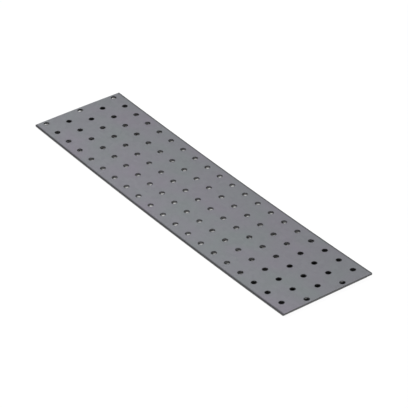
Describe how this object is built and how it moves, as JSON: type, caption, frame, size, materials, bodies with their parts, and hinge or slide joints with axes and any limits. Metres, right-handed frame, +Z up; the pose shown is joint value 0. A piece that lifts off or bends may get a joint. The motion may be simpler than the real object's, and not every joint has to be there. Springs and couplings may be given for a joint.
{
  "type": "perforated nail plate",
  "caption": "Flat rectangular galvanised steel plate with a staggered field of round nail holes, for joining timbers whose faces are flush.",
  "frame": {"origin": "middle of the plate's length and width, on the underside", "axes": "+X along the plate's length, towards the end that the two shifted lines of holes come nearer to; +Y across its width; +Z up through its thickness"},
  "size_m": [0.4, 0.1, 0.002],
  "materials": {
    "galvanised_steel": "zinc-coated sheet, dull mid grey with a faint spangle, fine rolling lines and light handling scuffs; sheared edges and punched hole walls are darker bare steel"
  },
  "bodies": {
    "root": {"nail_plate": "galvanised_steel"}
  },
  "joints": []
}
